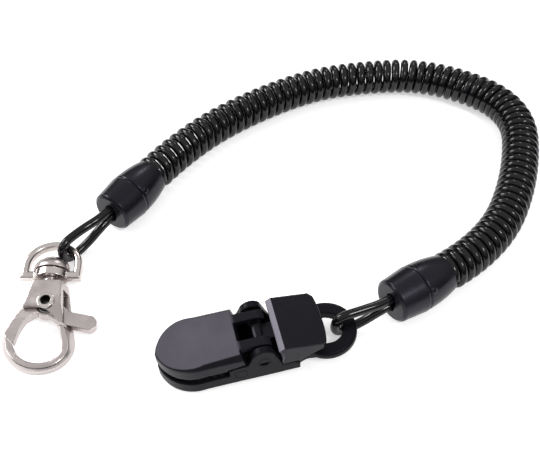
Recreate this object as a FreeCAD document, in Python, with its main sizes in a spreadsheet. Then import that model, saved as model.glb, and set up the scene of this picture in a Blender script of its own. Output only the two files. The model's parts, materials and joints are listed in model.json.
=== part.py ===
import FreeCAD, Part
import math
import os

# Coiled tether: a curly cord with a swivel trigger hook on one end and a cam clip on the other.
# Millimetres, +Z up, the floor is z = 0.

doc = FreeCAD.newDocument("coiled_tether")
V = FreeCAD.Vector

SIZES = [
    # curly cord
    ("coil_diameter", 10.0),
    ("cord_diameter", 2.3),
    # end caps, measured along their own axis from the mouth
    ("cap_length", 16.7),
    ("cap_seam", 7.7),
    ("cap_mouth_radius", 5.4),
    ("cap_barrel_radius", 6.05),
    ("cap_collar_radius", 5.95),
    ("cap_tail_radius", 4.7),
    ("cap_chamfer", 0.7),
    ("cap_button_radius", 0.65),
    ("cap_cavity_radius", 3.25),
    ("cap_wall", 2.2),
    ("collar_bore_radius", 2.6),
    ("spigot_radius", 4.4),
    ("spigot_length", 2.0),
    ("mouth_half_width", 1.45),
    ("strand_offset", 1.2),
    ("ferrule_radius", 3.2),
    ("ferrule_length", 3.2),
    ("ferrule_half_width", 1.2),
    ("cap_tilt", 2.3),
    ("hook_cap_turn", 57.0),
    ("clip_cap_turn", 33.2),
    # trigger hook, measured up its axis from the bottom of the claw
    ("hook_turn", 0.0),
    ("hook_tilt", 2.0),
    ("claw_centre", 9.0),
            ("claw_rim_height", 1.25),
    ("claw_top_height", 2.4),
    ("flank_inset", 2.6),
    ("body_thickness", 5.6),
    ("shoulder_half_width", 5.7),
    ("neck_half_width", 4.2),
    ("neck_top", 24.7),
    ("rivet_height", 18.0),
    ("rivet_across", 0.6),
    ("slot_floor", 1.2),
    ("slot_roof", 4.2),
    ("gate_bottom", 1.35),
    ("gate_top", 4.05),
    ("hub_radius", 3.0),
    ("rivet_radius", 1.6),
    ("rivet_bore_radius", 1.2),
    ("rivet_rim_radius", 2.1),
    ("rivet_rim_height", 0.45),
    ("spring_radius", 2.0),
    ("spring_wire", 0.45),
    ("spring_pitch", 0.36),
    ("spring_pocket_radius", 2.45),
    ("spring_pocket_depth", 1.5),
    ("axis_height", 3.0),
    # swivel
    ("ring_arch_height", 29.3),
    ("ring_outer_radius", 7.4),
    ("ring_inner_radius", 5.4),
    ("ring_inner_rise", 0.3),
    ("ring_thickness", 2.6),
    ("ring_rounding", 0.8),
    ("boss_bottom", 25.6),
    ("boss_top", 27.7),
    ("stud_radius", 1.9),
    ("stud_bottom", 22.7),
    ("stud_hole_radius", 2.05),
    ("head_bottom", 28.1),
    ("head_band", 0.4),
    ("head_half_width", 4.4),
    ("head_half_depth", 3.1),
    ("head_dome", 3.6),
    # cam clip, measured along its axis from the front of the jaws
    ("clip_turn", 13.5),
    ("clip_tilt", 2.8),
    ("clip_half_width", 7.1),
    ("jaw_length", 18.4),
    ("lower_jaw_thickness", 3.7),
    ("rail_width", 1.7),
    ("rail_height", 3.6),
    ("rail_step_height", 6.2),
    ("rail_end", 31.5),
    ("base_floor", 0.9),
    ("sole_edge", 0.6),
    ("slot_end", 15.3),
    ("jaw_pivot_along", 17.9),
    ("jaw_pivot_height", 3.65),
    ("cam_pivot_along", 23.3),
    ("cam_pivot_height", 6.3),
    ("ear_radius", 4.2),
    ("lever_hollow_radius", 4.45),
    ("jaw_gap", 2.1),
    ("jaw_top", 10.2),
    ("jaw_crown", 1.2),
    ("pin_radius", 0.9),
    ("pin_hole_radius", 0.95),
    ("pin_head_radius", 1.4),
    ("pin_head_depth", 0.5),
    ("moon_radius", 1.1),
    ("moon_depth", 1.3),
    ("rib_inner_radius", 2.9),
    ("rib_outer_radius", 3.9),
    ("rib_offset", 3.6),
    ("rib_width", 2.4),
    ("lug_radius", 1.5),
    ("barrel_radius", 1.7),
    ("lobe_radius", 2.5),
    ("lever_front", 26.6),
    ("lever_rear", 38.5),
    ("lever_top", 9.9),
    ("lever_bottom", 3.75),
    ("eye_along", 39.4),
    ("eye_outer_radius", 7.3),
    ("eye_inner_radius", 4.1),
    ("eye_bottom", 0.9),
    ("eye_top", 3.3),
    ("eye_rounding", 0.8),
    ("tooth_height", 0.95),
]


def make_sheet():
    sheet = doc.addObject("Spreadsheet::Sheet", "Sizes")
    for row, (name, value) in enumerate(SIZES, start=1):
        sheet.set("A%d" % row, name)
        sheet.set("B%d" % row, str(value))
        sheet.setAlias("B%d" % row, name)
    doc.recompute()
    return sheet


sheet = make_sheet()


def size(name):
    return float(sheet.get(name))


def bind(obj, prop, expression):
    """Tie one property to sheet values named in the expression as {name}."""
    text = expression
    for name, _ in SIZES:
        text = text.replace("{" + name + "}", "Sizes." + name)
    obj.setExpression(prop, text)


# ---------------------------------------------------------------- building blocks

def cylinder(name, radius, height, base, rotation=None):
    obj = doc.addObject("Part::Cylinder", name)
    bind(obj, "Radius", radius)
    bind(obj, "Height", height)
    obj.Placement = FreeCAD.Placement(base, rotation or FreeCAD.Rotation())
    return obj


def box(name, length, width, height, base, rotation=None):
    obj = doc.addObject("Part::Box", name)
    bind(obj, "Length", length)
    bind(obj, "Width", width)
    bind(obj, "Height", height)
    obj.Placement = FreeCAD.Placement(base, rotation or FreeCAD.Rotation())
    return obj


def outline(name, points, placement):
    """A closed sketch. A point is (x, y), or ((x, y), "arc") for the middle of an arc."""
    sketch = doc.addObject("Sketcher::SketchObject", name)
    sketch.Placement = placement
    count = len(points)
    i = 0
    while i < count:
        here = points[i]
        after = points[(i + 1) % count]
        if len(after) == 2 and after[1] == "arc":
            end = points[(i + 2) % count]
            curve = Part.Arc(flat(here), flat(after[0]), flat(end))
            sketch.addGeometry(curve, False)
            i += 2
        else:
            sketch.addGeometry(Part.LineSegment(flat(here), flat(after)), False)
            i += 1
    return sketch


def flat(point):
    return V(point[0], point[1], 0)


def extrude(name, sketch, direction, length):
    obj = doc.addObject("Part::Extrusion", name)
    obj.Base = sketch
    obj.DirMode = "Custom"
    obj.Dir = direction
    bind(obj, "LengthFwd", length)
    obj.Solid = True
    return obj


def plate(name, points, bottom, height):
    """A plan outline raised along Z."""
    sketch = outline(name + "_sketch", points, FreeCAD.Placement(V(0, 0, bottom), FreeCAD.Rotation()))
    return extrude(name, sketch, V(0, 0, 1), height)


def slab(name, points, side, width):
    """A side outline of (along, up) carried across Y from side, over width."""
    turn = FreeCAD.Rotation(V(1, 0, 0), 90)
    sketch = outline(name + "_sketch", points, FreeCAD.Placement(V(0, side, 0), turn))
    return extrude(name, sketch, V(0, 1, 0), width)


def spin(name, points, turn):
    """A half section of (radius, along) turned about the X axis."""
    obj = doc.addObject("Part::Revolution", name)
    turned = [(p[1], p[0]) if p[1] != "arc" else ((p[0][1], p[0][0]), "arc") for p in points]
    obj.Source = outline(name + "_sketch", turned, FreeCAD.Placement())
    obj.Axis = V(1, 0, 0)
    obj.Angle = turn
    obj.Solid = True
    return obj


def fuse(name, parts):
    obj = doc.addObject("Part::MultiFuse", name)
    obj.Shapes = parts
    obj.Refine = True
    return obj


def cut(name, base, tool):
    obj = doc.addObject("Part::Cut", name)
    obj.Base = base
    obj.Tool = tool
    obj.Refine = True
    return obj


def common(name, first, second):
    obj = doc.addObject("Part::MultiCommon", name)
    obj.Shapes = [first, second]
    return obj


def rounded(name, base, radius, chosen):
    """Round the edges for which chosen(edge) is true."""
    doc.recompute()
    obj = doc.addObject("Part::Fillet", name)
    obj.Base = base
    numbers = [i for i, e in enumerate(base.Shape.Edges, start=1) if chosen(e)]
    obj.Edges = [(i, radius, radius) for i in numbers]
    return obj


def flat_edge(level):
    """Edges lying wholly at one height."""
    def test(edge):
        b = edge.BoundBox
        return abs(b.ZMin - level) < 0.01 and abs(b.ZMax - level) < 0.01
    return test


# ---------------------------------------------------------------- where things stand

ALONG_Y = FreeCAD.Rotation(V(1, 0, 0), -90)
HOOK_FOOT = V(-32.53, -16.46, 0)
CLIP_TIP = V(-4.19, -14.66, 0)
HOOK_CAP_TAIL = V(-10.67, 42.44, 5.66)
CLIP_CAP_TAIL = V(63.33, 9.94, 5.66)
BUTTON_ANGLE = math.radians(52)
CLAW_MIDDLE_X = -0.7
SPRING_CLEARANCE = 0.1


def hook_place():
    turn = FreeCAD.Rotation(V(0, 0, 1), size("hook_turn"))
    lean = FreeCAD.Rotation(V(1, 0, 0), size("hook_tilt"))
    return FreeCAD.Placement(HOOK_FOOT, turn.multiply(lean))


def clip_place():
    turn = FreeCAD.Rotation(V(0, 0, 1), size("clip_turn"))
    lean = FreeCAD.Rotation(V(0, 1, 0), -size("clip_tilt"))
    return FreeCAD.Placement(CLIP_TIP, turn.multiply(lean))


def cap_place(tail, turn_name):
    turn = FreeCAD.Rotation(V(0, 0, 1), size(turn_name))
    lean = FreeCAD.Rotation(V(0, 1, 0), size("cap_tilt"))
    rotation = turn.multiply(lean)
    mouth = tail - rotation.multVec(V(size("cap_length"), 0, 0))
    return FreeCAD.Placement(mouth, rotation)


nodes = []


def finish(obj, label, placement):
    """Name a finished piece and stand it where it belongs."""
    obj.Label = label
    obj.Placement = placement.multiply(obj.Placement)
    nodes.append(obj)


# ---------------------------------------------------------------- trigger hook

def drawn_in(x, y, inset):
    """A point of the claw's outline moved towards the middle of the claw."""
    away_x = x - CLAW_MIDDLE_X
    away_y = y - size("claw_centre")
    keep = 1.0 - inset / math.hypot(away_x, away_y)
    return (CLAW_MIDDLE_X + away_x * keep, size("claw_centre") + away_y * keep)


def hook_outline(inset):
    """Plan of the whole hook, drawn in by inset round the claw and by less at the neck."""
    n = size("neck_half_width") - inset * 0.3
    t = size("neck_top") - inset * 0.2
    w = size("shoulder_half_width") - inset * 0.4
    return [
        (n, t), drawn_in(7.45, 11.0, inset), (drawn_in(6.95, 4.6, inset), "arc"), drawn_in(2.9, 1.6, inset),
        (drawn_in(-1.4, 1.35, inset), "arc"), drawn_in(-5.4, 3.2, inset), (drawn_in(-8.2, 6.5, inset), "arc"),
        drawn_in(-9.3, 10.4, inset), (-w - 0.6, 13.5), (-w, 16.4), (-n, t),
    ]


def make_hook_flank():
    """Cast body and claw as one piece: an upright rim with sides that lean in above it."""
    rim = plate("hook_rim", hook_outline(0.0), 0.0, "{claw_rim_height}")
    level = size("claw_rim_height")
    low = outline("flank_low", hook_outline(0.0), FreeCAD.Placement(V(0, 0, level), FreeCAD.Rotation()))
    high = outline("flank_high", hook_outline(size("flank_inset")),
                   FreeCAD.Placement(V(0, 0, size("body_thickness")), FreeCAD.Rotation()))
    flank = doc.addObject("Part::Loft", "hook_flank")
    flank.Sections = [low, high]
    flank.Solid = True
    flank.Ruled = True
    return fuse("hook_blank", [rim, flank])


def claw_opening():
    """The egg-shaped opening of the claw, running out on the left where the gate closes it."""
    return [
        (-9.9, 15.8), (-5.8, 16.3), ((-3.2, 16.8), "arc"), (-0.4, 16.6), ((2.55, 14.7), "arc"), (4.5, 10.9),
        (5.25, 8.3), ((4.45, 5.0), "arc"), (2.1, 3.55), ((-1.6, 3.6), "arc"), (-4.8, 5.6), (-6.1, 7.9),
        (-9.9, 11.6),
    ]


def make_hook_body():
    top = size("body_thickness")
    slope = slab_x("claw_slope", [(-1.0, size("claw_top_height")), (6.5, size("claw_top_height") + 0.2),
                                  (17.5, top), (17.5, 9.0), (-1.0, 9.0)])
    low = cut("hook_low", make_hook_flank(), slope)
    opened = cut("hook_opened", low, plate("claw_hole", claw_opening(), -1.0, "9"))
    slot = plate("gate_slot", [(-9.6, 11.5), (-4.6, 12.4), (4.2, 12.3), (9.6, 11.2), (9.6, 18.6), (4.6, 22.2),
                               (-4.2, 22.2), (-9.6, 17.6)], size("slot_floor"), "{slot_roof} - {slot_floor}")
    slotted = cut("hook_slotted", opened, slot)
    rivet_hole = cylinder("rivet_hole", "{rivet_radius}", "{body_thickness} + 2",
                          V(size("rivet_across"), size("rivet_height"), -1))
    stud_hole = cylinder("stud_hole", "{stud_radius}", "{neck_top} - {stud_bottom} + 2",
                         V(0, size("stud_bottom") - 0.1, size("axis_height")), ALONG_Y)
    first = cut("hook_drilled", slotted, rivet_hole)
    body = cut("hook_body", first, stud_hole)
    finish(body, "hook_body", hook_place())


def slab_x(name, points):
    """A side outline of (Y, Z) carried right across the hook along X."""
    turn = FreeCAD.Rotation(V(1, 1, 1), 120)
    sketch = outline(name + "_sketch", points, FreeCAD.Placement(V(-12, 0, 0), turn))
    return extrude(name, sketch, V(1, 0, 0), "24")


def make_gate():
    x = size("rivet_across")
    y = size("rivet_height")
    hub = cylinder("gate_hub", "{hub_radius}", "{gate_top} - {gate_bottom}", V(x, y, size("gate_bottom")))
    blank = plate("gate_arm_blank", [(-2.2, 19.6), (-5.6, 16.5), ((-7.1, 13.5), "arc"), (-8.35, 10.45),
                                     (-5.75, 8.0), (-5.4, 10.0), ((-4.8, 12.2), "arc"), (-3.8, 14.3),
                                     (-1.2, 16.2)], size("gate_bottom"), "{gate_top} - {gate_bottom}")
    fall = slab_x("gate_arm_slope", [(7.0, 3.0), (14.0, size("gate_top")), (14.0, 9.0), (7.0, 9.0)])
    arm = cut("gate_arm", blank, fall)
    thumb = plate("gate_thumb", [(1.8, 20.4), (6.0, 16.2), (11.0, 15.1), ((13.0, 12.9), "arc"), (11.4, 11.1),
                                 (6.0, 12.5), (0.8, 15.3)],
                  size("gate_bottom") + 0.3, "{gate_top} - {gate_bottom} - 0.6")
    whole = fuse("gate_whole", [hub, arm, thumb])
    pocket = cylinder("spring_pocket", "{spring_pocket_radius}", "{spring_pocket_depth} + 1",
                      V(x, y, size("gate_top") - size("spring_pocket_depth")))
    hole = cylinder("gate_hole", "{rivet_radius} + 0.06", "9", V(x, y, -1))
    carved = cut("gate_carved", whole, pocket)
    lever = cut("gate_lever", carved, hole)
    finish(lever, "gate_lever", hook_place())


def make_rivet():
    x = size("rivet_across")
    y = size("rivet_height")
    shank = cylinder("rivet_shank", "{rivet_radius}", "{body_thickness}", V(x, y, 0))
    rim = cylinder("rivet_rim", "{rivet_rim_radius}", "{rivet_rim_height}", V(x, y, size("body_thickness")))
    rim_soft = rounded("rivet_rim_soft", rim, 0.25,
                       flat_edge(size("body_thickness") + size("rivet_rim_height")))
    solid = fuse("rivet_solid", [shank, rim_soft])
    bore = cylinder("rivet_bore", "{rivet_bore_radius}", "9", V(x, y, -1))
    rivet = cut("gate_rivet", solid, bore)
    finish(rivet, "gate_rivet", hook_place())


def spring_section():
    """Half section of three closed turns of wire, as radius and height."""
    r = size("spring_radius")
    w = size("spring_wire") / 2.0
    step = size("spring_pitch")
    waist = math.sqrt(w * w - step * step / 4.0)
    low = w + step / 2.0
    high = w + step * 1.5
    return [
        (r - waist, low), ((r, 0.0), "arc"), (r + waist, low), ((r + w, w + step), "arc"),
        (r + waist, high), ((r, 2.0 * (w + step)), "arc"), (r - waist, high), ((r - w, w + step), "arc"),
    ]


def make_spring():
    """Torsion coil round the rivet in the lever's pocket, its turns closed up."""
    spring = spin("gate_spring", spring_section(), 360)
    bottom = size("gate_top") - size("spring_pocket_depth") + SPRING_CLEARANCE
    spring.Placement = FreeCAD.Placement(V(size("rivet_across"), size("rivet_height"), bottom),
                                         FreeCAD.Rotation(V(0, 1, 0), -90))
    finish(spring, "gate_spring", hook_place())


def ring_outline(radius, foot, rise):
    c = size("ring_arch_height") + rise
    return [(radius, foot), (radius, c), ((0.0, c + radius), "arc"), (-radius, c), (-radius, foot)]


def oval(name, bottom, length, wide, deep):
    """An oval prism standing along the hook's axis."""
    turn = FreeCAD.Rotation(V(1, 0, 0), -90)
    sketch = doc.addObject("Sketcher::SketchObject", name + "_sketch")
    sketch.Placement = FreeCAD.Placement(V(0, bottom, size("axis_height")), turn)
    sketch.addGeometry(Part.Ellipse(V(0, 0, 0), wide, deep), False)
    return extrude(name, sketch, V(0, 1, 0), length)


def make_swivel_ring():
    low = size("axis_height") - size("ring_thickness") / 2.0
    outer = plate("ring_outer", ring_outline(size("ring_outer_radius"), size("boss_bottom"), 0.0), low,
                  "{ring_thickness}")
    inner = plate("ring_inner", ring_outline(size("ring_inner_radius"), size("boss_top"), size("ring_inner_rise")),
                  low - 1, "{ring_thickness} + 2")
    blank = cut("ring_blank", outer, inner)
    soft = rounded("ring_soft", blank, size("ring_rounding"), ring_edges(low))
    boss = oval("ring_boss", size("boss_bottom"), "{boss_top} - {boss_bottom}", size("neck_half_width"),
                size("head_half_depth"))
    whole = fuse("ring_whole", [soft, boss])
    hole = cylinder("ring_hole", "{stud_hole_radius}", "8", V(0, size("boss_bottom") - 2, size("axis_height")),
                    ALONG_Y)
    ring = cut("swivel_ring", whole, hole)
    finish(ring, "swivel_ring", hook_place())


def ring_edges(low):
    high = low + size("ring_thickness")

    def test(edge):
        return flat_edge(low)(edge) or flat_edge(high)(edge)
    return test


def make_swivel_stud():
    shank = cylinder("stud_shank", "{stud_radius}", "{head_bottom} - {stud_bottom} + 0.5",
                     V(0, size("stud_bottom"), size("axis_height")), ALONG_Y)
    band = oval("stud_band", size("head_bottom"), "{head_band}", size("head_half_width"),
                size("head_half_depth"))
    dome = doc.addObject("Part::Ellipsoid", "stud_dome")
    bind(dome, "Radius1", "{head_dome}")
    bind(dome, "Radius2", "{head_half_width}")
    bind(dome, "Radius3", "{head_half_depth}")
    dome.Angle1 = 0
    dome.Angle2 = 90
    dome.Placement = FreeCAD.Placement(V(0, size("head_bottom") + size("head_band"), size("axis_height")),
                                       ALONG_Y)
    stud = fuse("swivel_stud", [shank, band, dome])
    finish(stud, "swivel_stud", hook_place())


# ---------------------------------------------------------------- end caps

def strand_slot(name, half_width, start, length):
    """Upright slot for two strands lying one above the other, carried along the cap axis."""
    gap = size("strand_offset")
    top = cylinder(name + "_top", half_width, length, V(start, 0, gap), FreeCAD.Rotation(V(0, 1, 0), 90))
    low = cylinder(name + "_low", half_width, length, V(start, 0, -gap), FreeCAD.Rotation(V(0, 1, 0), 90))
    mid = box(name + "_mid", length, "2 * (" + half_width + ")", "2 * {strand_offset}", V(start, 0, -gap))
    bind(mid, "Placement.Base.y", "-(" + half_width + ")")
    return fuse(name, [top, low, mid])


def make_cap_barrel(prefix, place):
    seam = size("cap_seam")
    c = size("cap_chamfer")
    mouth = size("cap_mouth_radius")
    outer = size("cap_barrel_radius")
    cavity = size("cap_cavity_radius")
    spigot = size("spigot_radius") + 0.03
    start = seam - size("spigot_length") - 0.05
    section = [(0.0, 0.0), (mouth - c, 0.0), (mouth, c * 0.8), (outer, seam - 0.5), (outer - 0.25, seam),
               (spigot, seam), (spigot, start), (cavity, start), (cavity, size("cap_wall")),
               (0.0, size("cap_wall"))]
    blank = spin(prefix + "_barrel_blank", section, 360)
    slot = strand_slot(prefix + "_mouth", "{mouth_half_width}", -1.0, "5")
    barrel = cut(prefix + "_cap_barrel", blank, slot)
    finish(barrel, prefix + "_cap_barrel", place)


def make_cap_collar(prefix, place):
    """The tapered half of the cap over the end of the coil, with a small moulded button by the seam."""
    seam = size("cap_seam")
    end = size("cap_length")
    r = size("cap_collar_radius")
    tail = size("cap_tail_radius")
    bore = size("collar_bore_radius")
    spigot = size("spigot_radius")
    section = [(bore, seam - size("spigot_length")), (spigot, seam - size("spigot_length")), (spigot, seam),
               (r - 0.2, seam), (r, seam + 0.35), ((r - 0.3, seam + 4.6), "arc"), (tail, end), (bore, end)]
    blank = spin(prefix + "_collar_blank", section, 360)
    button = cylinder(prefix + "_collar_button", "{cap_button_radius}", "1.5",
                      V(seam + 1.1, -(r - 1.3) * math.sin(BUTTON_ANGLE), (r - 1.3) * math.cos(BUTTON_ANGLE)),
                      FreeCAD.Rotation(V(1, 0, 0), math.degrees(BUTTON_ANGLE)))
    collar = fuse(prefix + "_cap_collar", [blank, button])
    finish(collar, prefix + "_cap_collar", place)


def make_ferrule(prefix, place):
    start = size("cap_wall") + 0.02
    blank = cylinder(prefix + "_ferrule_blank", "{ferrule_radius}", "{ferrule_length}",
                     V(start, 0, 0), FreeCAD.Rotation(V(0, 1, 0), 90))
    slot = strand_slot(prefix + "_ferrule_slot", "{ferrule_half_width}", 0.0, "9")
    ferrule = cut(prefix + "_crimp_ferrule", blank, slot)
    finish(ferrule, prefix + "_crimp_ferrule", place)


# ---------------------------------------------------------------- cords

COIL_ROUTE = [
    V(-10.67, 42.44, 5.66), V(-4.77, 51.54, 5.22), V(8.33, 65.04, 5.0), V(28.93, 78.04, 5.0), V(45.13, 82.94, 5.0),
    V(69.03, 84.64, 5.0), V(92.83, 70.04, 5.0), V(88.63, 42.94, 5.0), V(76.93, 18.84, 5.0), V(63.33, 9.94, 5.66),
]


def bend_radius(before, corner, after):
    first = corner - before
    second = after - corner
    half = first.getAngle(second) / 2.0
    return 0.45 * min(first.Length, second.Length) / math.tan(half)


def route_edges(points):
    """Straight runs joined by tangent arcs at every inner point."""
    edges = []
    last = points[0]
    for i in range(1, len(points) - 1):
        corner = points[i]
        back = (points[i - 1] - corner).normalize()
        ahead = (points[i + 1] - corner).normalize()
        reach = 0.45 * min((points[i - 1] - corner).Length, (points[i + 1] - corner).Length)
        start = corner + back * reach
        end = corner + ahead * reach
        radius = bend_radius(points[i - 1], corner, points[i + 1])
        inward = (back + ahead).normalize()
        depth = math.sqrt(radius * radius + reach * reach) - radius
        edges.append(Part.LineSegment(last, start).toShape())
        edges.append(Part.Arc(start, corner + inward * depth, end).toShape())
        last = end
    edges.append(Part.LineSegment(last, points[-1]).toShape())
    return edges


def make_tube(label, points, diameter):
    path = Part.Wire(route_edges(points))
    along = (points[1] - points[0]).normalize()
    section = Part.Wire([Part.makeCircle(diameter / 2.0, points[0], along)])
    solid = path.makePipeShell([section], True, True)
    obj = doc.addObject("Part::Feature", label)
    obj.Shape = solid
    obj.Label = label
    nodes.append(obj)
    radii = [bend_radius(points[i - 1], points[i], points[i + 1]) for i in range(1, len(points) - 1)]
    expected = math.pi * diameter * diameter / 4.0 * path.Length
    print(label, "length %.1f" % path.Length, "volume ratio %.4f" % (solid.Volume / expected),
          "bend radii", ["%.1f" % r for r in radii])


def cap_point(place, along, up):
    return place.multVec(V(along, 0, up))


def hook_loop_route():
    """Down through the swivel ring and back, from cap to cap."""
    cap = cap_place(HOOK_CAP_TAIL, "hook_cap_turn")
    up = size("strand_offset")
    return [
        cap_point(cap, 5.2, up), cap_point(cap, -2.4, up), V(-26.7, 22.3, 6.8), V(-30.63, 16.64, 7.5),
        V(-30.63, 16.64, 1.25), V(-26.17, 21.74, 1.3), cap_point(cap, -2.4, -up), cap_point(cap, 5.2, -up),
    ]


def clip_loop_route():
    """Down through the eye of the clip and back."""
    cap = cap_place(CLIP_CAP_TAIL, "clip_cap_turn")
    up = size("strand_offset")
    return [
        cap_point(cap, 5.2, up), cap_point(cap, -2.4, up), V(42.83, -2.26, 7.7), V(36.18, -4.68, 7.6),
        V(36.18, -4.68, 1.25), V(42.4, -2.1, 1.85), cap_point(cap, -2.4, -up), cap_point(cap, 5.2, -up),
    ]


# ---------------------------------------------------------------- cam clip

def clip_plan(inset):
    """Plan of the jaws: a rounded front and straight sides."""
    w = size("clip_half_width") - inset
    return [(60.0, -w), (60.0, w), (10.0, w), ((2.6, w * 0.66), "arc"), (inset, 0.0),
            ((2.6, -w * 0.66), "arc"), (10.0, -w)]


def clip_taper(name, low_inset, low, high_inset, high):
    """A slice of the jaws' plan whose sides lean from one inset to another."""
    under = outline(name + "_low", clip_plan(low_inset), FreeCAD.Placement(V(0, 0, low), FreeCAD.Rotation()))
    over = outline(name + "_high", clip_plan(high_inset), FreeCAD.Placement(V(0, 0, high), FreeCAD.Rotation()))
    taper = doc.addObject("Part::Loft", name)
    taper.Sections = [under, over]
    taper.Solid = True
    taper.Ruled = True
    return taper


def base_side():
    """Side outline: lower jaw, wall up to the jaw pivot, then the rail under the cam lever."""
    step = size("rail_step_height")
    return [(-1.0, 0.0), (size("rail_end"), 0.0), (size("rail_end"), 2.4), (30.2, size("rail_height")),
            (19.8, size("rail_height")), (19.8, step + 0.2), (16.6, step), (size("slot_end"), step - 0.5),
            (size("slot_end"), size("lower_jaw_thickness")), (-1.0, size("lower_jaw_thickness"))]


def make_eye():
    """Round eye for the loop, on a waisted neck behind the rails."""
    a = size("eye_along")
    blank = cylinder("eye_blank", "{eye_outer_radius}", "{eye_top} - {eye_bottom}", V(a, 0, size("eye_bottom")))
    disc = rounded("eye_disc", blank, size("eye_rounding"), round_edge)
    neck = plate("eye_neck", [(29.0, -6.7), (31.0, -6.7), ((32.9, -5.75), "arc"), (35.2, -5.9), (35.2, 5.9),
                              ((32.9, 5.75), "arc"), (31.0, 6.7), (29.0, 6.7)], size("eye_bottom"),
                 "{eye_top} - {eye_bottom}")
    hole = cylinder("eye_hole", "{eye_inner_radius}", "9", V(a, 0, -2))
    return cut("eye", fuse("eye_whole", [disc, neck]), hole)


def round_edge(edge):
    """The rims of a cylinder, but not its seam."""
    return edge.Curve.TypeId == "Part::GeomCircle"


def make_ear(side_name, side):
    """Upright ear for the cam pin: rounded in front, sloping down behind."""
    x = size("cam_pivot_along")
    z = size("cam_pivot_height")
    r = size("ear_radius")
    points = [(19.6, 0.5), (27.4, 0.5), (27.4, 3.9), (25.5, 9.3), ((x + 0.4, z + r), "arc"),
              (20.6, 8.4), (19.6, 6.3)]
    return slab(side_name, points, side, "{rail_width}")


def make_teeth(name, root, tip):
    """Ridges across a jaw face, from height root to height tip."""
    ridges = []
    for i in range(7):
        x = 2.6 + i * 1.7
        points = [(x, root), (x + 1.5, root), (x + 0.75, tip)]
        half = 6.2 if i > 2 else 3.6 + i
        ridges.append(slab(name + str(i), points, -half, str(2 * half)))
    return ridges


def cross_pin(name, radius, length, along, side, height):
    return cylinder(name, radius, length, V(along, side, height), ALONG_Y)


def make_clip_base():
    w = size("clip_half_width")
    side = slab("base_block", base_side(), -w - 1, "2 * {clip_half_width} + 2")
    edge = size("sole_edge")
    sole = clip_taper("base_sole", edge, 0.0, 0.0, edge)
    upright = plate("base_upright", clip_plan(0.0), edge, "14")
    block = common("base_shape", side, fuse("base_plan", [sole, upright]))
    well = box("base_well", "{rail_end} - {slot_end} - 1.0", "2 * ({clip_half_width} - {rail_width})", "9",
               V(size("slot_end") + 0.4, 0, size("base_floor")))
    bind(well, "Placement.Base.y", "-({clip_half_width} - {rail_width})")
    rails = cut("base_rails", block, well)
    near = make_ear("near_ear", -w)
    far = make_ear("far_ear", w - size("rail_width"))
    face = size("lower_jaw_thickness")
    teeth = make_teeth("tooth", face - 0.2, face + size("tooth_height"))
    parts = [rails, near, far, make_eye()] + teeth
    whole = fuse("base_whole", parts)
    jaw_hole = cross_pin("base_jaw_hole", "{pin_radius}", "30", size("jaw_pivot_along"), -15,
                         size("jaw_pivot_height"))
    cam_hole = cross_pin("base_cam_hole", "{pin_radius}", "30", size("cam_pivot_along"), -15,
                         size("cam_pivot_height"))
    seats = pin_seats()
    base = cut("clip_base", whole, fuse("base_holes", [jaw_hole, cam_hole] + seats))
    finish(base, "clip_base", clip_place())


def pin_seats():
    """Round seats sunk in the outer faces of the rails for the heads of both pins."""
    w = size("clip_half_width")
    d = size("pin_head_depth")
    made = []
    for name, x, z in pin_axes():
        made.append(cross_pin(name + "_near_seat", "{pin_head_radius}", "{pin_head_depth} + 1", x, -w - 1, z))
        made.append(cross_pin(name + "_far_seat", "{pin_head_radius}", "{pin_head_depth} + 1", x, w - d, z))
    return made


def pin_axes():
    return [("jaw_pivot", size("jaw_pivot_along"), size("jaw_pivot_height")),
            ("cam_pivot", size("cam_pivot_along"), size("cam_pivot_height"))]


def make_pin(name, along, height):
    w = size("clip_half_width")
    d = size("pin_head_depth")
    shank = cross_pin(name + "_shank", "{pin_radius}", "2 * {clip_half_width} - 0.2", along, 0.1 - w, height)
    near = cross_pin(name + "_near_head", "{pin_head_radius}", "{pin_head_depth}", along, -w, height)
    far = cross_pin(name + "_far_head", "{pin_head_radius}", "{pin_head_depth}", along, w - d, height)
    return fuse(name + "_whole", [shank, near, far])


def half_moon(along, height):
    """Half-round recess in the near end of the cam pin."""
    r = size("moon_radius")
    level = height - 0.1
    return slab("cam_pin_moon", [(along - r, level), (along + r, level), ((along, level - r), "arc")],
                -size("clip_half_width") - 1.0, "{moon_depth} + 1.0")


def make_pins():
    (jaw_name, jaw_x, jaw_z), (cam_name, cam_x, cam_z) = pin_axes()
    finish(make_pin(jaw_name, jaw_x, jaw_z), "jaw_pivot_pin", clip_place())
    cam = cut("cam_pin_cut", make_pin(cam_name, cam_x, cam_z), half_moon(cam_x, cam_z))
    finish(cam, "cam_pivot_pin", clip_place())


def jaw_side():
    end = size("jaw_length")
    floor = size("lower_jaw_thickness") + size("jaw_gap")
    lift = size("rail_step_height") + 0.3
    top = size("jaw_top")
    return [(-1.0, floor), (size("slot_end") - 0.3, floor), (size("slot_end") - 0.3, lift - 0.2), (16.6, lift),
            (19.2, lift + 0.5), (end, top), (7.0, top - 0.45), ((3.0, top - 0.95), "arc"), (-1.0, top - 2.0)]


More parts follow.
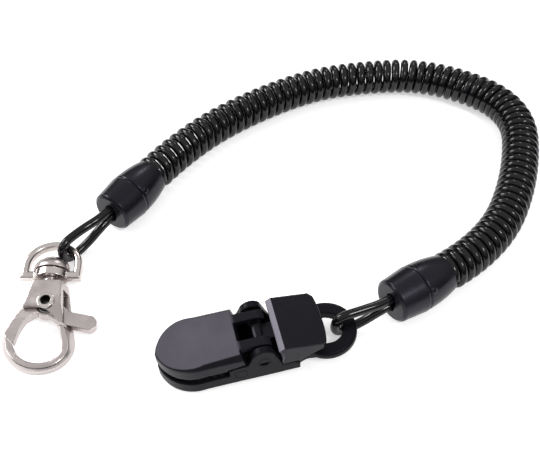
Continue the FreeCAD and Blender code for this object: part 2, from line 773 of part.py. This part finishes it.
def make_rib(name, side):
    """Arched arm behind the jaw plate, with the lug that hangs on the jaw pin."""
    cx = size("cam_pivot_along")
    cz = size("cam_pivot_height")
    r = size("rib_inner_radius")
    q = size("rib_outer_radius")
    jx = size("jaw_pivot_along")
    jz = size("jaw_pivot_height")
    lug = size("lug_radius")
    rear = math.radians(50)
    front = math.radians(112)
    arch = [
        (cx + q * math.cos(rear), cz + q * math.sin(rear)), ((cx + q * math.cos(1.25), cz + q * math.sin(1.25)), "arc"),
        (cx - 0.6, cz + math.sqrt(q * q - 0.36)), (17.0, cz + q - 0.1), (16.0, 7.0), (jx - lug, jz),
        ((jx, jz - lug), "arc"), (jx + lug, jz), (19.2, 8.3), (cx + r * math.cos(front), cz + r * math.sin(front)),
        ((cx + r * math.cos(1.4), cz + r * math.sin(1.4)), "arc"), (cx + r * math.cos(rear), cz + r * math.sin(rear)),
    ]
    return slab(name, arch, side, "{rib_width}")


def make_upper_jaw():
    w = size("clip_half_width")
    side = slab("jaw_block", jaw_side(), -w - 1, "2 * {clip_half_width} + 2")
    shoulder = size("jaw_top") - size("jaw_crown")
    upright = plate("jaw_upright", clip_plan(0.0), 0.0, "{jaw_top} - {jaw_crown}")
    crown = clip_taper("jaw_crown_slope", 0.0, shoulder, size("jaw_crown"), size("jaw_top") + 0.1)
    shell = common("jaw_shape", side, fuse("jaw_plan", [upright, crown]))
    offset = size("rib_offset")
    half = size("rib_width") / 2.0
    ribs = [make_rib("near_rib", -offset - half), make_rib("far_rib", offset - half)]
    face = size("lower_jaw_thickness") + size("jaw_gap")
    teeth = make_teeth("jaw_tooth", face + 0.2, face - size("tooth_height") + 0.15)
    whole = fuse("jaw_whole", [shell] + ribs + teeth)
    hole = cross_pin("jaw_hole", "{pin_hole_radius}", "30", size("jaw_pivot_along"), -15,
                     size("jaw_pivot_height"))
    jaw = cut("upper_jaw", whole, hole)
    finish(jaw, "upper_jaw", clip_place())


def lever_side():
    """Wedge of the lever: bevelled front edge, top falling to a thin rear edge."""
    f = size("lever_front")
    b = size("lever_rear")
    top = size("lever_top")
    return [(f + 1.0, size("lever_bottom")), (31.0, size("lever_bottom")), (b - 0.2, 7.2), (b, 7.6), (b - 0.2, 8.2),
            (f + 1.6, top), (f, top - 0.9)]


def make_cam_lever():
    w = size("clip_half_width")
    cx = size("cam_pivot_along")
    cz = size("cam_pivot_height")
    f = size("lever_front")
    b = size("lever_rear")
    side = slab("lever_block", lever_side(), -w - 1, "2 * {clip_half_width} + 2")
    plan = plate("lever_plan", [(f - 1, -w), (b - 1.6, -w), (b - 0.6, -w + 1.0), ((b, 0.0), "arc"), (b - 0.6, w - 1.0),
                                (b - 1.6, w), (f - 1, w)], 0.0, "12")
    wedge = common("lever_shape", side, plan)
    hollow = cross_pin("lever_hollow", "{lever_hollow_radius}", "30", cx, -15, cz)
    block = cut("lever_front", wedge, hollow)
    barrel = cross_pin("lever_barrel", "{barrel_radius}", "10.4", cx, -5.2, cz)
    lobe = slab("cam_lobe", [(cx - 1.4, cz + 0.5), (cx + 1.4, cz + 0.5), (cx + 1.1, cz + 2.1),
                             ((cx, cz + size("lobe_radius")), "arc"), (cx - 1.1, cz + 2.1)], -2.1, "4.2")
    web = slab("lever_web", [(cx + 0.3, cz - 1.6), (f + 2.4, size("lever_bottom") + 0.1), (f + 2.4, cz + 2.0),
                             (cx + 0.3, cz + 1.3)], -2.1, "4.2")
    whole = fuse("lever_whole", [block, barrel, lobe, web])
    hole = cross_pin("lever_hole", "{pin_hole_radius}", "30", cx, -15, cz)
    lever = cut("cam_lever", whole, hole)
    finish(lever, "cam_lever", clip_place())


# ---------------------------------------------------------------- everything

def build():
    make_hook_body()
    make_gate()
    make_rivet()
    make_spring()
    make_swivel_ring()
    make_swivel_stud()
    for prefix, tail, turn in (("hook", HOOK_CAP_TAIL, "hook_cap_turn"), ("clip", CLIP_CAP_TAIL, "clip_cap_turn")):
        place = cap_place(tail, turn)
        make_cap_barrel(prefix, place)
        make_cap_collar(prefix, place)
        make_ferrule(prefix, place)
    make_tube("coil_cord", COIL_ROUTE, size("coil_diameter"))
    make_tube("hook_loop_cord", hook_loop_route(), size("cord_diameter"))
    make_tube("clip_loop_cord", clip_loop_route(), size("cord_diameter"))
    make_clip_base()
    make_upper_jaw()
    make_cam_lever()
    make_pins()


def check_document():
    for obj in doc.Objects:
        if "Invalid" in obj.State or "Error" in obj.State:
            raise RuntimeError(obj.Label + " did not recompute: " + str(obj.State))
    for obj in nodes:
        if obj.Shape.isNull() or not obj.Shape.isValid():
            raise RuntimeError(obj.Label + " has no valid shape")


def export():
    os.makedirs("parts", exist_ok=True)
    for obj in nodes:
        box = obj.Shape.BoundBox
        print("%-20s solids %d  volume %8.2f  x %.1f..%.1f  y %.1f..%.1f  z %.2f..%.2f" % (
            obj.Label, len(obj.Shape.Solids), obj.Shape.Volume, box.XMin, box.XMax, box.YMin, box.YMax,
            box.ZMin, box.ZMax))
        obj.Shape.exportStep("parts/" + obj.Label + ".step")


build()
doc.recompute()
check_document()
export()
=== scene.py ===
"""Looks of the coiled tether: curly cord, its caps, the swivel hook and the cam clip."""

import json
import math

import bpy
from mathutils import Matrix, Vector


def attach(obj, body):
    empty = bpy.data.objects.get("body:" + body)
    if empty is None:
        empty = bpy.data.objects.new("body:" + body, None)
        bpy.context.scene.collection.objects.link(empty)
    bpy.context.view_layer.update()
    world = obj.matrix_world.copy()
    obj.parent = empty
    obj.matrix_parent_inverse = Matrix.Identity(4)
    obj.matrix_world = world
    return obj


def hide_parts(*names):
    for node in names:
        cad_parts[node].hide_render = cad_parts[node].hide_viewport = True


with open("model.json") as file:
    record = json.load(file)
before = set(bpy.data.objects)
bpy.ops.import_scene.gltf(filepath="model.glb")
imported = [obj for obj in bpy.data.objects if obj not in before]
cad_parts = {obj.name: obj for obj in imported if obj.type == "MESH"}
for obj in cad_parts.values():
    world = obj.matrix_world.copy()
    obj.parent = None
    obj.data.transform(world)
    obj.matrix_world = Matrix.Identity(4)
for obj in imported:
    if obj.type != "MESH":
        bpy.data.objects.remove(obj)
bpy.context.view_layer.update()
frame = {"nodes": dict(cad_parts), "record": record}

NODES = frame["nodes"]
MM = 0.001

# ---------------------------------------------------------------- sizes, millimetres

CORD_D = 2.3
COIL_D = 10.0
PITCH_START = 2.95
PITCH_END = 2.45
PITCH_CHANGE_RATE = 1.6
STEPS_PER_TURN = 24
TANGENT_REACH = 1.5

RIVET_CENTRE = (-31.93, 1.43, 0.0)
# Painted shade: the rivet's bore is painted near black out to the first radius and fades to the rim's
# plain colour by the second.
BORE_PAINTED_SHADE_WITHIN = 1.15
PAINTED_SHADE_GONE_FROM = 1.45

CLIP_AXIS = (0.97237, 0.23345, 0.0)
PLATE_ENDS_AT = 10.9
PLATE_FADE = 0.9
LEVER_STARTS_AT = 18.9
LEVER_FADE = 0.6

CLAW_FULLY_ROUND_BELOW = -3.5
CLAW_ROUND_FADES_AT = 2.0
CLAW_PASSES = 26

COIL_ROUTE = [
    (-10.67, 42.44, 5.66), (-4.77, 51.54, 5.22), (8.33, 65.04, 5.0), (28.93, 78.04, 5.0),
    (45.13, 82.94, 5.0), (69.03, 84.64, 5.0), (92.83, 70.04, 5.0), (88.63, 42.94, 5.0),
    (76.93, 18.84, 5.0), (63.33, 9.94, 5.66),
]
HOOK_LOOP_ROUTE = [
    (-16.9, 32.84, 7.32), (-21.04, 26.47, 7.63), (-26.7, 22.3, 6.8), (-30.63, 16.64, 7.5),
    (-30.63, 16.64, 1.25), (-26.17, 21.74, 1.3), (-21.09, 26.39, 5.23), (-16.95, 32.76, 4.92),
]
CLIP_LOOP_ROUTE = [
    (53.76, 3.67, 7.32), (47.4, -0.48, 7.63), (42.83, -2.26, 7.7), (36.18, -4.68, 7.6),
    (36.18, -4.68, 1.25), (42.4, -2.1, 1.85), (47.32, -0.54, 5.23), (53.67, 3.62, 4.92),
]


def metres(points):
    return [tuple(c * MM for c in p) for p in points]


# ---------------------------------------------------------------- node material helpers

def new_material(name, metallic=0.0):
    mat = bpy.data.materials.new(name)
    mat.use_nodes = True
    shader = mat.node_tree.nodes["Principled BSDF"]
    shader.inputs["Metallic"].default_value = metallic
    return mat, shader


def add(mat, kind, **values):
    """A new node, with its sockets or else its settings given by name."""
    node = mat.node_tree.nodes.new(kind)
    for key, value in values.items():
        if key in node.inputs:
            node.inputs[key].default_value = value
        else:
            setattr(node, key, value)
    return node


def link(mat, out, into):
    mat.node_tree.links.new(out, into)


def noise(mat, scale, detail, rough=0.55):
    place = add(mat, "ShaderNodeTexCoord")
    tex = add(mat, "ShaderNodeTexNoise", Scale=scale, Detail=detail, Roughness=rough)
    link(mat, place.outputs["Object"], tex.inputs["Vector"])
    return tex.outputs["Fac"]


def spread(mat, value, low, high, start=0.3, end=0.7):
    """Turn start..end of a value into low..high, and hold it there outside."""
    node = add(mat, "ShaderNodeMapRange")
    node.inputs["From Min"].default_value = start
    node.inputs["From Max"].default_value = end
    node.inputs["To Min"].default_value = low
    node.inputs["To Max"].default_value = high
    link(mat, value, node.inputs["Value"])
    return node.outputs["Result"]


def two_tone(mat, value, dark, light):
    ramp = add(mat, "ShaderNodeMix", data_type="RGBA")
    ramp.inputs["A"].default_value = (*dark, 1.0)
    ramp.inputs["B"].default_value = (*light, 1.0)
    link(mat, value, ramp.inputs["Factor"])
    return ramp.outputs["Result"]


def times(mat, one, other):
    node = add(mat, "ShaderNodeMath", operation="MULTIPLY")
    link(mat, one, node.inputs[0])
    link(mat, other, node.inputs[1])
    return node.outputs["Value"]


def bump(mat, shader, value, strength, distance):
    node = add(mat, "ShaderNodeBump")
    node.inputs["Strength"].default_value = strength
    node.inputs["Distance"].default_value = distance
    link(mat, value, node.inputs["Height"])
    link(mat, node.outputs["Normal"], shader.inputs["Normal"])


def share_along(mat, output, axis):
    """Part of the object's own position or normal that points along an axis."""
    place = add(mat, "ShaderNodeTexCoord")
    dot = add(mat, "ShaderNodeVectorMath", operation="DOT_PRODUCT")
    dot.inputs[1].default_value = axis
    link(mat, place.outputs[output], dot.inputs[0])
    return dot.outputs["Value"]


# ---------------------------------------------------------------- metals

BUFF_GRAIN = (2400.0, 2.0)
BUFF_BUMP = (0.15, 0.00005)


def metal(name, tones, rough, broad, fine, grain_bump):
    """Plate whose tone and roughness drift together, over a fine grain."""
    mat, shader = new_material(name, 1.0)
    drift = noise(mat, *broad)
    link(mat, two_tone(mat, drift, *tones), shader.inputs["Base Color"])
    link(mat, spread(mat, drift, *rough), shader.inputs["Roughness"])
    bump(mat, shader, noise(mat, *fine), *grain_bump)
    return mat


def nickel():
    """Satin plate with the grain of the casting under it."""
    tones = ((0.46, 0.415, 0.405), (0.62, 0.57, 0.56))
    return metal("nickel", tones, rough=(0.2, 0.34), broad=(160.0, 3.0), fine=(3800.0, 3.0, 0.7),
                 grain_bump=(0.2, 0.00005))


def polished():
    """The same plate where it is buffed, on the ring."""
    tones = ((0.55, 0.5, 0.485), (0.74, 0.69, 0.67))
    return metal("polished", tones, rough=(0.1, 0.24), broad=(220.0, 3.0), fine=BUFF_GRAIN,
                 grain_bump=BUFF_BUMP)


def rivet_metal():
    """Polished rim round a bore painted near black, a painted shade where the deep bore lies in shadow.
    """
    mat, shader = new_material("rivet_metal", 1.0)
    shader.inputs["Roughness"].default_value = 0.2
    place = add(mat, "ShaderNodeTexCoord")
    split = add(mat, "ShaderNodeSeparateXYZ")
    flat = add(mat, "ShaderNodeCombineXYZ")
    gap = add(mat, "ShaderNodeVectorMath", operation="DISTANCE")
    gap.inputs[1].default_value = metres([RIVET_CENTRE])[0]
    link(mat, place.outputs["Object"], split.inputs["Vector"])
    link(mat, split.outputs["X"], flat.inputs["X"])
    link(mat, split.outputs["Y"], flat.inputs["Y"])
    link(mat, flat.outputs["Vector"], gap.inputs[0])
    # Painted shade: near black inside the bore, the plate's polished colour on the rim.
    rim = spread(mat, gap.outputs["Value"], 0.0, 1.0, BORE_PAINTED_SHADE_WITHIN * MM, PAINTED_SHADE_GONE_FROM * MM)
    tone = two_tone(mat, rim, (0.01, 0.01, 0.01), (0.7, 0.65, 0.63))
    link(mat, tone, shader.inputs["Base Color"])
    bump(mat, shader, noise(mat, *BUFF_GRAIN), *BUFF_BUMP)
    return mat


def plain_steel():
    """Bare metal of the pieces that sit inside others."""
    mat, shader = new_material("plain_steel", 1.0)
    shader.inputs["Base Color"].default_value = (0.4, 0.4, 0.41, 1.0)
    link(mat, spread(mat, noise(mat, 400.0, 4.0), 0.28, 0.45), shader.inputs["Roughness"])
    return mat


# ---------------------------------------------------------------- plastics

COOL_SHEEN = (0.84, 0.81, 1.0, 1.0)
PLAIN_SHEEN = (1.0, 1.0, 1.0, 1.0)
DEEP_BLACK = (0.004, 0.0038, 0.005)
CLIP_ROUGHNESS_DRIFT = 0.06


def plastic(name, tones, rough, gloss, sheen, broad, fine, grain_bump, painted_light_where=None):
    """Black moulding. The light tone follows the drift, or is painted light (painted sheen or
    reflection) on the faces that the given mask picks.
    """
    mat, shader = new_material(name)
    shader.inputs["Specular IOR Level"].default_value = gloss
    shader.inputs["Specular Tint"].default_value = sheen
    drift = noise(mat, *broad)
    pale = drift
    if painted_light_where:
        # Painted light: the light tone goes only on the faces the mask picks, as a painted sheen or
        # reflection.
        pale = times(mat, painted_light_where(mat), spread(mat, drift, 0.75, 1.0))
    link(mat, two_tone(mat, pale, *tones), shader.inputs["Base Color"])
    link(mat, spread(mat, drift, *rough), shader.inputs["Roughness"])
    bump(mat, shader, noise(mat, *fine), *grain_bump)
    return mat


def cord_plastic():
    tones = ((0.0025, 0.0025, 0.003), (0.006, 0.006, 0.0075))
    return plastic("cord_plastic", tones, rough=(0.1, 0.2), gloss=0.35, sheen=PLAIN_SHEEN,
                   broad=(90.0, 4.0), fine=(900.0, 2.0), grain_bump=(0.08, 0.00004))


def cap_plastic():
    return plastic("cap_plastic", (DEEP_BLACK, (0.011, 0.0105, 0.014)), rough=(0.2, 0.34), gloss=0.28,
                   sheen=COOL_SHEEN, broad=(120.0, 4.0), fine=(1400.0, 3.0), grain_bump=(0.12, 0.00005))


def clip_plastic(name, dark, light, gloss, rough, painted_light_where):
    """Satin moulding of the clip's pieces, with painted light on the faces that the given mask picks.
    """
    drift = (rough - CLIP_ROUGHNESS_DRIFT, rough + CLIP_ROUGHNESS_DRIFT)
    return plastic(name, (dark, light), rough=drift, gloss=gloss, sheen=COOL_SHEEN, broad=(110.0, 4.0),
                   fine=(2400.0, 3.0), grain_bump=(0.3, 0.00006), painted_light_where=painted_light_where)


def upward_painted_light(mat):
    """Faces that look straight up, where the light tone is painted light: a painted sheen from the
    overhead studio.
    """
    return spread(mat, share_along(mat, "Normal", (0.0, 0.0, 1.0)), 0.0, 1.0, 0.9, 0.995)


def plate_top_painted_reflection(mat):
    """The flat top of the jaw, without the two ribs behind it, lightened by a painted reflection of the
    soft overhead light.
    """
    along = share_along(mat, "Object", CLIP_AXIS)
    plate = spread(mat, along, 1.0, 0.0, (PLATE_ENDS_AT - PLATE_FADE) * MM, PLATE_ENDS_AT * MM)
    return times(mat, upward_painted_light(mat), plate)


def front_bevel_painted_reflection(mat):
    """The sloped strip along the lever's front edge, lightened by a painted reflection."""
    slope = spread(mat, share_along(mat, "Normal", CLIP_AXIS), 1.0, 0.0, -0.45, -0.25)
    along = share_along(mat, "Object", CLIP_AXIS)
    block = spread(mat, along, 0.0, 1.0, (LEVER_STARTS_AT - LEVER_FADE) * MM, LEVER_STARTS_AT * MM)
    return times(mat, slope, block)


MATERIALS = {
    "nickel": nickel(), "polished": polished(), "rivet": rivet_metal(), "steel": plain_steel(),
    "cord": cord_plastic(), "cap": cap_plastic(),
    # Painted sheen: the clip's upward faces get the lighter tone.
    "clip": clip_plastic("clip_plastic", DEEP_BLACK, (0.006, 0.0056, 0.0072), 0.1, 0.4, upward_painted_light),
    # Painted reflection: the jaw's flat top gets the much lighter tone.
    "jaw": clip_plastic("jaw_plastic", (0.006, 0.0057, 0.0075), (0.1, 0.092, 0.112), 0.16, 0.42,
                        plate_top_painted_reflection),
    # Painted reflection: the lever's front bevel gets the pale grey tone.
    "lever": clip_plastic("lever_plastic", DEEP_BLACK, (0.2, 0.19, 0.225), 0.2, 0.3, front_bevel_painted_reflection),
}


def paint(obj, name):
    obj.data.materials.clear()
    obj.data.materials.append(MATERIALS[name])


# ---------------------------------------------------------------- cords

def nurbs_curve(name, points, bevel=0.0):
    data = bpy.data.curves.new(name, "CURVE")
    data.dimensions = "3D"
    data.resolution_u = 16
    spline = data.splines.new("NURBS")
    spline.points.add(len(points) - 1)
    for p, co in zip(spline.points, points):
        p.co = (*co, 1.0)
    spline.order_u = 3
    spline.use_endpoint_u = True
    data.bevel_depth = bevel
    data.bevel_resolution = 6
    data.use_fill_caps = True
    obj = bpy.data.objects.new(name, data)
    bpy.context.scene.collection.objects.link(obj)
    return obj


def line_of(points):
    """Points read along the smooth line of a route."""
    guide = nurbs_curve("guide", points)
    bpy.context.view_layer.update()
    mesh = bpy.data.meshes.new_from_object(guide)
    line = [v.co.copy() for v in mesh.vertices]
    bpy.data.objects.remove(guide)
    return line


def lengths_along(line):
    """How far along the line each of its points is."""
    total = [0.0]
    for a, b in zip(line, line[1:]):
        total.append(total[-1] + (b - a).length)
    return total


def point_at(line, along, place):
    """The point a given length along the line, or its end where the line is shorter."""
    place = min(max(place, 0.0), along[-1])
    i = 0
    while i < len(along) - 2 and along[i + 1] < place:
        i += 1
    part = (place - along[i]) / (along[i + 1] - along[i])
    return line[i].lerp(line[i + 1], part)


def tangent(line, along, place):
    reach = TANGENT_REACH * MM
    return (point_at(line, along, place + reach) - point_at(line, along, place - reach)).normalized()


def helix_points():
    """Turns wound round the coil's route, a little more open towards the hook."""
    line = line_of(metres(COIL_ROUTE))
    along = lengths_along(line)
    radius = (COIL_D - CORD_D) / 2.0 * MM
    up = Vector((0, 0, 1))
    points = []
    place = 0.0
    angle = 0.0
    while place < along[-1]:
        centre = point_at(line, along, place)
        ahead = tangent(line, along, place)
        side = ahead.cross(up).normalized()
        over = side.cross(ahead).normalized()
        points.append(centre + side * (radius * math.cos(angle)) + over * (radius * math.sin(angle)))
        share = min(1.0, place / along[-1] * PITCH_CHANGE_RATE)
        pitch = (PITCH_START + (PITCH_END - PITCH_START) * share) * MM
        angle += 2.0 * math.pi / STEPS_PER_TURN
        place += pitch / STEPS_PER_TURN
    return points


def make_coil():
    points = helix_points()
    data = bpy.data.curves.new("coil", "CURVE")
    data.dimensions = "3D"
    data.resolution_u = 1
    spline = data.splines.new("POLY")
    spline.points.add(len(points) - 1)
    for p, co in zip(spline.points, points):
        p.co = (*co, 1.0)
    data.bevel_depth = CORD_D / 2.0 * MM
    data.bevel_resolution = 5
    data.use_fill_caps = True
    coil = bpy.data.objects.new("coil", data)
    bpy.context.scene.collection.objects.link(coil)
    declare_cord(coil, "coil_cord")


def make_loop(name, node, route):
    loop = nurbs_curve(name, metres(route), CORD_D / 2.0 * MM)
    length = lengths_along(line_of(metres(route)))[-1]
    declare_cord(loop, node)


def declare_cord(obj, node):
    paint(obj, "cord")
    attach(obj, "cord")
    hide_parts(node)


make_coil()
make_loop("hook_loop", "hook_loop_cord", HOOK_LOOP_ROUTE)
make_loop("clip_loop", "clip_loop_cord", CLIP_LOOP_ROUTE)

# ---------------------------------------------------------------- CAD pieces

SLOTS = {s["node"]: s["material_slot"] for s in frame["record"]["subparts"]}
LOOK = {"nickel": "nickel", "spring_steel": "steel", "cord": "cord", "cap": "cap", "clip": "clip",
        "crimp": "steel"}
OWN_LOOK = {"swivel_ring": "polished", "gate_rivet": "rivet", "upper_jaw": "jaw", "cam_lever": "lever"}
ROUNDING = {
    "hook_body": (0.14, 7), "gate_lever": (0.12, 8), "swivel_ring": (0.12, 5), "swivel_stud": (0.11, 4),
    "gate_rivet": (0.08, 3), "clip_base": (0.14, 6), "upper_jaw": (0.14, 12), "cam_lever": (0.14, 6),
    "hook_cap_barrel": (0.14, 4), "hook_cap_collar": (0.14, 4),
    "clip_cap_barrel": (0.14, 4), "clip_cap_collar": (0.14, 4),
}


def soften(obj, grain, passes):
    """Take the sharp edges of a cast or moulded piece down to small radii."""
    remesh = obj.modifiers.new("skin", "REMESH")
    remesh.mode = "VOXEL"
    remesh.voxel_size = grain * MM
    remesh.use_smooth_shade = True
    smooth = obj.modifiers.new("rounding", "SMOOTH")
    smooth.factor = 0.5
    smooth.iterations = passes


def finished_mesh(obj, name):
    """The piece's shape with its modifiers applied, as a new object."""
    bpy.context.view_layer.update()
    shape = obj.evaluated_get(bpy.context.evaluated_depsgraph_get())
    copy = bpy.data.objects.new(name, bpy.data.meshes.new_from_object(shape))
    bpy.context.scene.collection.objects.link(copy)
    return copy


def round_claw(node):
    """The claw is a nearly round bar: its section is rounded much more than the body's."""
    hook = finished_mesh(node, "cast_hook")
    claw = hook.vertex_groups.new(name="claw")
    for v in hook.data.vertices:
        share = (CLAW_ROUND_FADES_AT - v.co.y / MM) / (CLAW_ROUND_FADES_AT - CLAW_FULLY_ROUND_BELOW)
        claw.add([v.index], min(max(share, 0.0), 1.0), "REPLACE")
    rounding = hook.modifiers.new("claw_rounding", "SMOOTH")
    rounding.factor = 0.5
    rounding.iterations = CLAW_PASSES
    rounding.vertex_group = "claw"
    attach(hook, "hook")
    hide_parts("hook_body")


for node_name, node_object in NODES.items():
    look = OWN_LOOK.get(node_name, LOOK[SLOTS[node_name]])
    paint(node_object, look)
    if node_name in ROUNDING:
        soften(node_object, *ROUNDING[node_name])
round_claw(NODES["hook_body"])

# ---------------------------------------------------------------- floor, light, camera

FLOOR_GLOW = 0.5
FLOOR_REACH = 3.0


def make_floor():
    """A white sheet that glows a little, so that the shadows on it stay faint."""
    mesh = bpy.data.meshes.new("floor")
    s = FLOOR_REACH
    mesh.from_pydata([(-s, -s, 0), (s, -s, 0), (s, s, 0), (-s, s, 0)], [], [(0, 1, 2, 3)])
    floor = bpy.data.objects.new("floor", mesh)
    bpy.context.scene.collection.objects.link(floor)
    mat, shader = new_material("floor")
    shader.inputs["Base Color"].default_value = (0.9, 0.9, 0.9, 1.0)
    shader.inputs["Roughness"].default_value = 0.9
    shader.inputs["Specular IOR Level"].default_value = 0.0
    shader.inputs["Emission Color"].default_value = (1.0, 1.0, 1.0, 1.0)
    shader.inputs["Emission Strength"].default_value = FLOOR_GLOW
    mesh.materials.append(mat)


HORIZON_DARK_TO = 0.15
OVERHEAD_FROM = 0.7
HORIZON_STRENGTH = 0.03
OVERHEAD_STRENGTH = 0.72


def make_world():
    """A studio that is dark along the horizon and pale overhead."""
    world = bpy.data.worlds.new("studio")
    world.use_nodes = True
    nodes = world.node_tree.nodes
    links = world.node_tree.links
    back = nodes["Background"]
    back.inputs["Color"].default_value = (1.0, 0.985, 0.98, 1.0)
    place = nodes.new("ShaderNodeTexCoord")
    split = nodes.new("ShaderNodeSeparateXYZ")
    rise = nodes.new("ShaderNodeMapRange")
    rise.interpolation_type = "SMOOTHSTEP"
    rise.inputs["From Min"].default_value = HORIZON_DARK_TO
    rise.inputs["From Max"].default_value = OVERHEAD_FROM
    rise.inputs["To Min"].default_value = HORIZON_STRENGTH
    rise.inputs["To Max"].default_value = OVERHEAD_STRENGTH
    links.new(place.outputs["Generated"], split.inputs["Vector"])
    links.new(split.outputs["Z"], rise.inputs["Value"])
    links.new(rise.outputs["Result"], back.inputs["Strength"])
    bpy.context.scene.world = world


# name, place, point it faces, side of the lamp, all in metres, and power in watts
LAMPS = [
    ("bevel", (-0.42, 0.29, 0.34), (0.03, -0.01, 0.0), 0.2, 1.8),
    ("front_right", (0.32, -0.25, 0.55), (0.02, 0.03, 0.0), 0.12, 1.3),
    ("left", (-0.55, 0.0, 0.28), (0.0, 0.02, 0.0), 0.2, 0.7),
    ("back", (0.1, 0.6, 0.45), (0.02, 0.05, 0.0), 0.1, 0.35),
]


def make_lamp(name, at, aim, side, power):
    data = bpy.data.lights.new(name, "AREA")
    data.shape = "SQUARE"
    data.size = side
    data.energy = power
    lamp = bpy.data.objects.new(name, data)
    lamp.location = at
    lamp.rotation_euler = (Vector(aim) - Vector(at)).to_track_quat("-Z", "Y").to_euler()
    bpy.context.scene.collection.objects.link(lamp)


CAMERA_ELEVATION = 50.0
CAMERA_DISTANCE = 0.2237
CAMERA_LENS = 56.7
CAMERA_TARGET = Vector((0.02103, 0.02984, 0.0))


def make_camera():
    data = bpy.data.cameras.new("camera")
    data.lens = CAMERA_LENS
    data.clip_start = 0.01
    lift = math.radians(CAMERA_ELEVATION)
    away = Vector((0.0, -math.cos(lift), math.sin(lift))) * CAMERA_DISTANCE
    camera = bpy.data.objects.new("camera", data)
    camera.location = CAMERA_TARGET + away
    camera.rotation_euler = (math.radians(90.0) - lift, 0.0, 0.0)
    bpy.context.scene.collection.objects.link(camera)
    bpy.context.scene.camera = camera


bpy.context.scene.view_settings.view_transform = "Standard"
make_floor()
make_world()
for lamp_values in LAMPS:
    make_lamp(*lamp_values)
make_camera()
